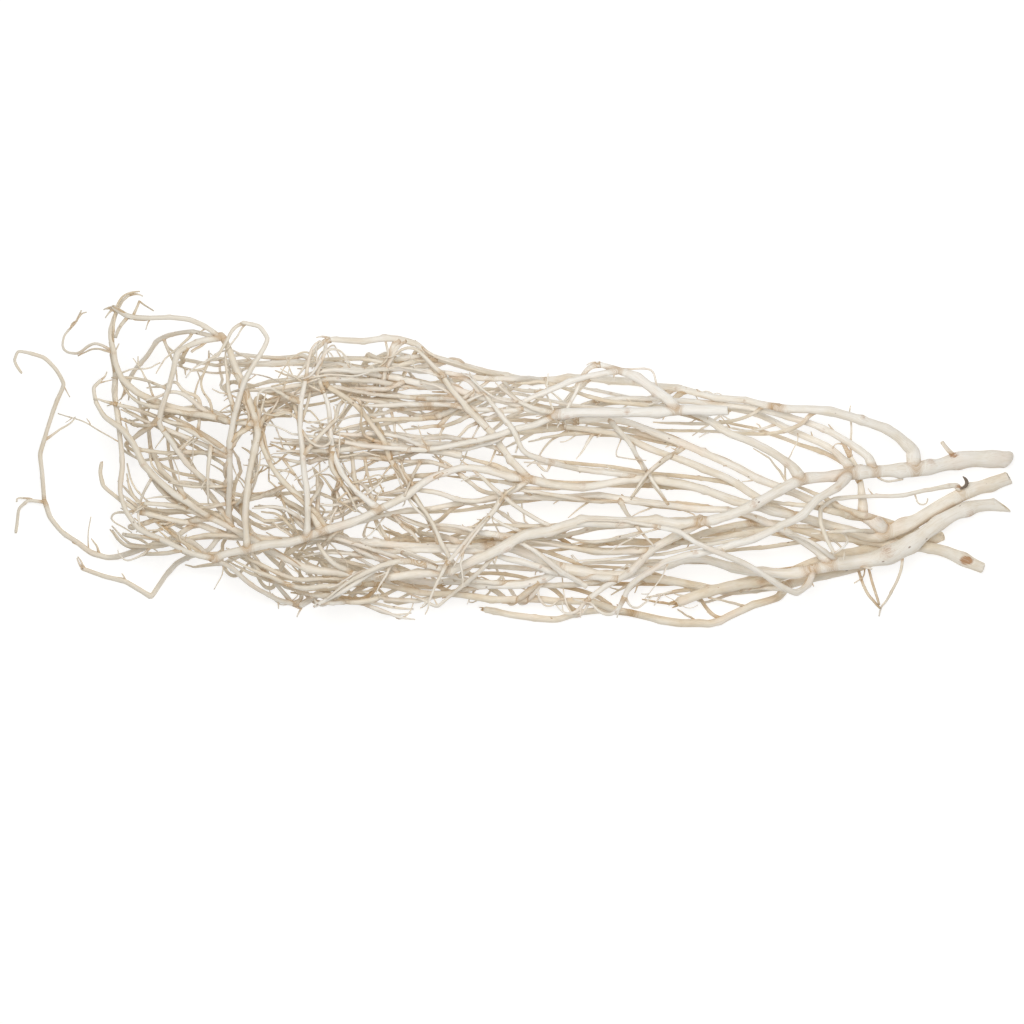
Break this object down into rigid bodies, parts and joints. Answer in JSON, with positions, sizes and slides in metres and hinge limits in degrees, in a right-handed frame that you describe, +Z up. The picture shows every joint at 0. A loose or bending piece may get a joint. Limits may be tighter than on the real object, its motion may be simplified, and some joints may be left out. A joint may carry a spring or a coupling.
{
  "type": "bundle of branches",
  "caption": "Loose bundle of peeled, bleached bare branches lying flat, with sawn butts at one end and forked, tangled, curling twigs at the other.",
  "frame": {"origin": "middle of the bundle's footprint, on the surface that it lies on", "axes": "+X along the bundle towards the sawn butts, +Z up from the surface, +Y across the bundle"},
  "size_m": [1.2108, 0.4038, 0.1782],
  "materials": {
    "branch_1_wood": "peeled and bleached bare wood, matt, with fine grain, small knots and sawn ends",
    "branch_2_wood": "peeled and bleached bare wood, matt, with fine grain, small knots and sawn ends",
    "branch_3_wood": "peeled and bleached bare wood, matt, with fine grain, small knots and sawn ends",
    "branch_4_wood": "peeled and bleached bare wood, matt, with fine grain, small knots and sawn ends",
    "branch_5_wood": "peeled and bleached bare wood, matt, with fine grain, small knots and sawn ends",
    "branch_6_wood": "peeled and bleached bare wood, matt, with fine grain, small knots and sawn ends",
    "branch_7_wood": "peeled and bleached bare wood, matt, with fine grain, small knots and sawn ends"
  },
  "bodies": {
    "root": {"branch_1_stem": "branch_1_wood", "branch_1_limb_a": "branch_1_wood", "branch_1_limb_b": "branch_1_wood", "branch_1_limb_c": "branch_1_wood", "branch_1_limb_d": "branch_1_wood", "branch_1_limb_e": "branch_1_wood", "branch_1_limb_f": "branch_1_wood", "branch_1_limb_g": "branch_1_wood", "branch_1_limb_h": "branch_1_wood", "branch_1_limb_i": "branch_1_wood", "branch_1_limb_j": "branch_1_wood", "branch_1_limb_k": "branch_1_wood", "branch_1_limb_l": "branch_1_wood", "branch_1_limb_m": "branch_1_wood", "branch_2_stem": "branch_2_wood", "branch_2_limb_a": "branch_2_wood", "branch_2_limb_b": "branch_2_wood", "branch_2_limb_c": "branch_2_wood", "branch_2_limb_d": "branch_2_wood", "branch_2_limb_e": "branch_2_wood", "branch_2_limb_f": "branch_2_wood", "branch_2_limb_g": "branch_2_wood", "branch_2_limb_h": "branch_2_wood", "branch_2_limb_i": "branch_2_wood", "branch_2_limb_j": "branch_2_wood", "branch_2_limb_k": "branch_2_wood", "branch_2_limb_l": "branch_2_wood", "branch_2_limb_m": "branch_2_wood", "branch_2_limb_n": "branch_2_wood", "branch_2_limb_o": "branch_2_wood", "branch_2_limb_p": "branch_2_wood", "branch_2_limb_q": "branch_2_wood", "branch_2_limb_r": "branch_2_wood", "branch_3_stem": "branch_3_wood", "branch_3_limb_a": "branch_3_wood", "branch_3_limb_b": "branch_3_wood", "branch_3_limb_c": "branch_3_wood", "branch_3_limb_d": "branch_3_wood", "branch_3_limb_e": "branch_3_wood", "branch_3_limb_f": "branch_3_wood", "branch_3_limb_g": "branch_3_wood", "branch_3_limb_h": "branch_3_wood", "branch_3_limb_i": "branch_3_wood", "branch_3_limb_j": "branch_3_wood", "branch_3_limb_k": "branch_3_wood", "branch_3_limb_l": "branch_3_wood", "branch_3_limb_m": "branch_3_wood", "branch_4_stem": "branch_4_wood", "branch_4_limb_a": "branch_4_wood", "branch_4_limb_b": "branch_4_wood", "branch_5_stem": "branch_5_wood", "branch_5_limb_a": "branch_5_wood", "branch_5_limb_b": "branch_5_wood", "branch_5_limb_c": "branch_5_wood", "branch_6_stem": "branch_6_wood", "branch_7_stem": "branch_7_wood", "branch_7_limb_a": "branch_7_wood", "branch_7_limb_b": "branch_7_wood", "branch_7_limb_c": "branch_7_wood", "branch_7_limb_d": "branch_7_wood"}
  },
  "joints": []
}
